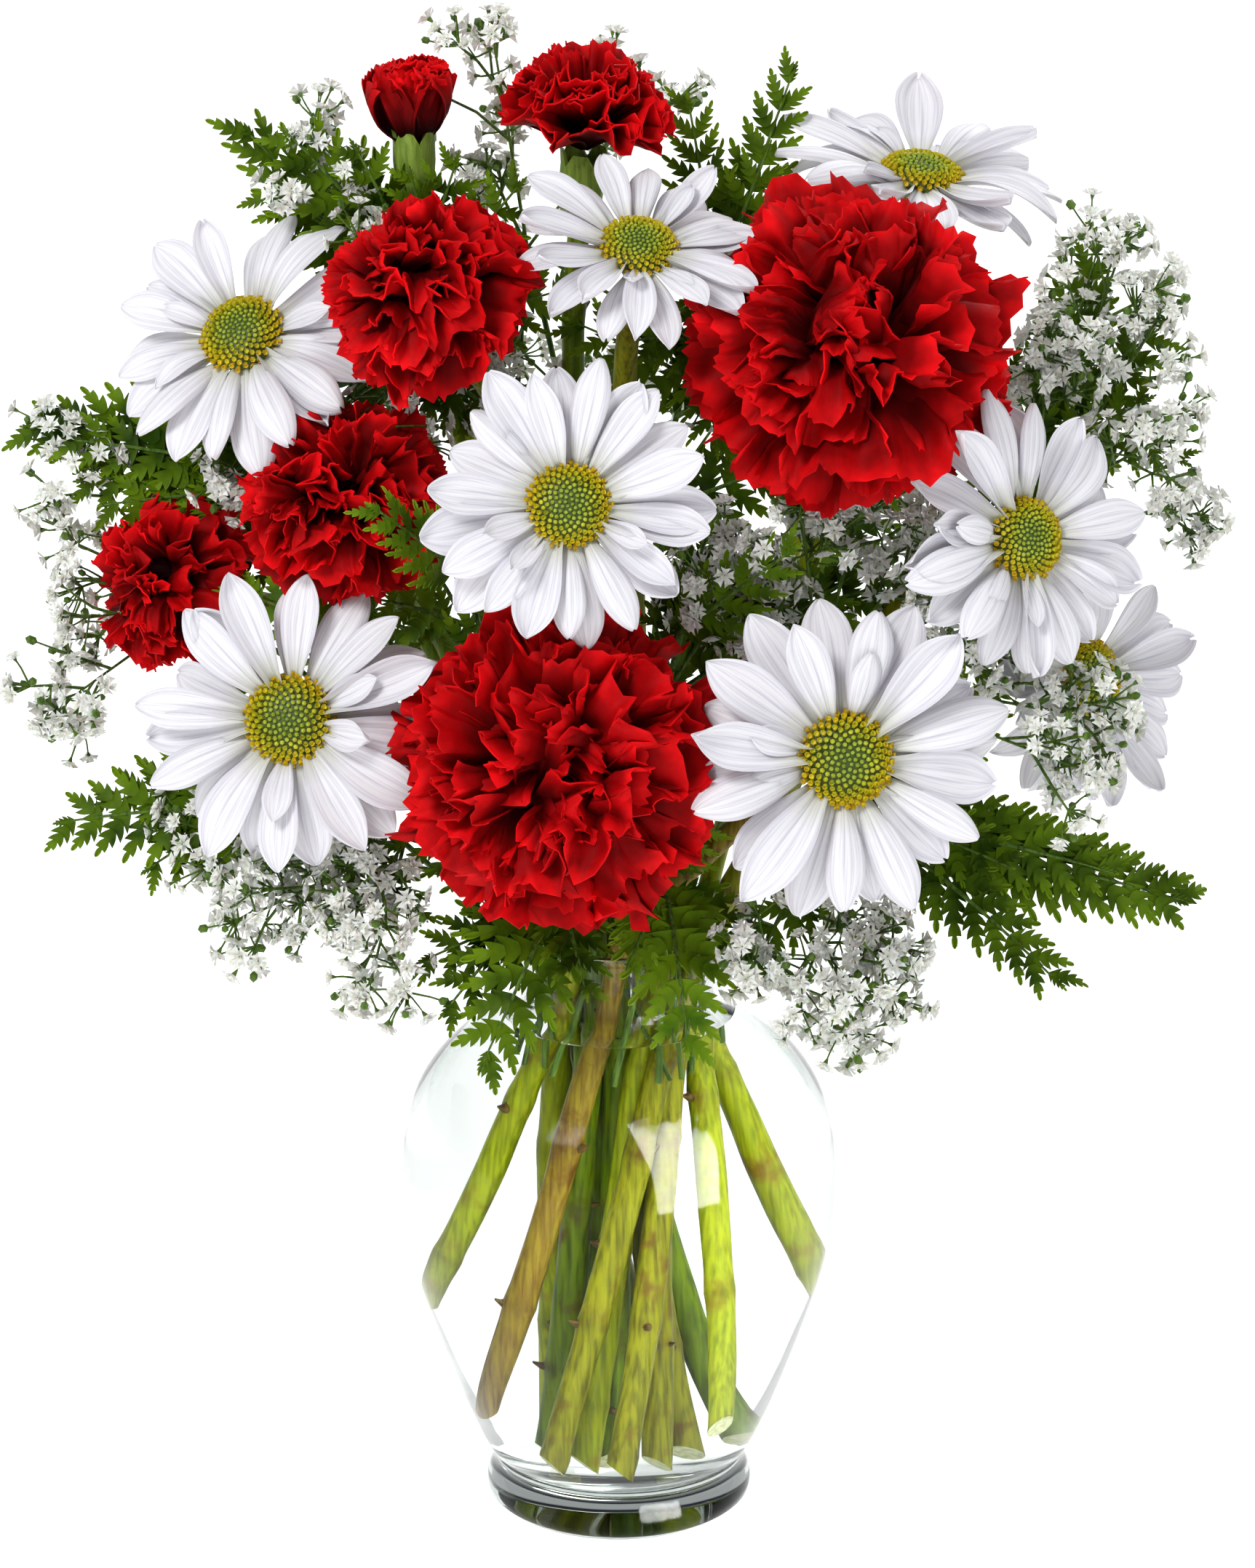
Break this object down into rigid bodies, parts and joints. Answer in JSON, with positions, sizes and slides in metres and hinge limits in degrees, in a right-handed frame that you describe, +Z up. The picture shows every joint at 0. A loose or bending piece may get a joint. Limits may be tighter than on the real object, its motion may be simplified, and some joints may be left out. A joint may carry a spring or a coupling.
{
  "type": "vase arrangement of carnations and daisies",
  "caption": "Clear glass vase of water holding red carnations, white daisies, leatherleaf fern and baby's breath on spiralled green stems.",
  "frame": {"origin": "centre of the vase's flat foot, on the surface that the vase stands on", "axes": "+Z up along the vase's axis; the front of the bouquet faces -Y and +X is its right side seen from the front"},
  "size_m": [0.3145, 0.1985, 0.4087],
  "materials": {
    "vase_glass": "gloss",
    "water": "gloss",
    "carnation_petals": "matte",
    "daisy_petals": "matte",
    "daisy_disc": "matte",
    "stems": "satin",
    "fern": "satin",
    "babys_breath": "matte"
  },
  "bodies": {
    "root": {"vase": "vase_glass", "water": "water", "carnation_1_petals": "carnation_petals", "carnation_1_stem": "stems", "carnation_2_petals": "carnation_petals", "carnation_2_stem": "stems", "carnation_3_petals": "carnation_petals", "carnation_3_stem": "stems", "carnation_4_petals": "carnation_petals", "carnation_4_stem": "stems", "carnation_5_petals": "carnation_petals", "carnation_5_stem": "stems", "carnation_6_petals": "carnation_petals", "carnation_6_stem": "stems", "carnation_7_petals": "carnation_petals", "carnation_7_stem": "stems", "daisy_1_petals": "daisy_petals", "daisy_1_disc": "daisy_disc", "daisy_1_stem": "stems", "daisy_2_petals": "daisy_petals", "daisy_2_disc": "daisy_disc", "daisy_2_stem": "stems", "daisy_3_petals": "daisy_petals", "daisy_3_disc": "daisy_disc", "daisy_3_stem": "stems", "daisy_4_petals": "daisy_petals", "daisy_4_disc": "daisy_disc", "daisy_4_stem": "stems", "daisy_5_petals": "daisy_petals", "daisy_5_disc": "daisy_disc", "daisy_5_stem": "stems", "daisy_6_petals": "daisy_petals", "daisy_6_disc": "daisy_disc", "daisy_6_stem": "stems", "daisy_7_petals": "daisy_petals", "daisy_7_disc": "daisy_disc", "daisy_7_stem": "stems", "daisy_8_petals": "daisy_petals", "daisy_8_disc": "daisy_disc", "daisy_8_stem": "stems", "fern_1": "fern", "fern_2": "fern", "fern_3": "fern", "fern_4": "fern", "fern_5": "fern", "fern_6": "fern", "fern_7": "fern", "fern_8": "fern", "fern_9": "fern", "fern_10": "fern", "fern_11": "fern", "fern_12": "fern", "babys_breath_1": "babys_breath", "babys_breath_2": "babys_breath", "babys_breath_3": "babys_breath", "babys_breath_4": "babys_breath", "babys_breath_5": "babys_breath", "babys_breath_6": "babys_breath", "babys_breath_7": "babys_breath", "babys_breath_8": "babys_breath"}
  },
  "joints": []
}
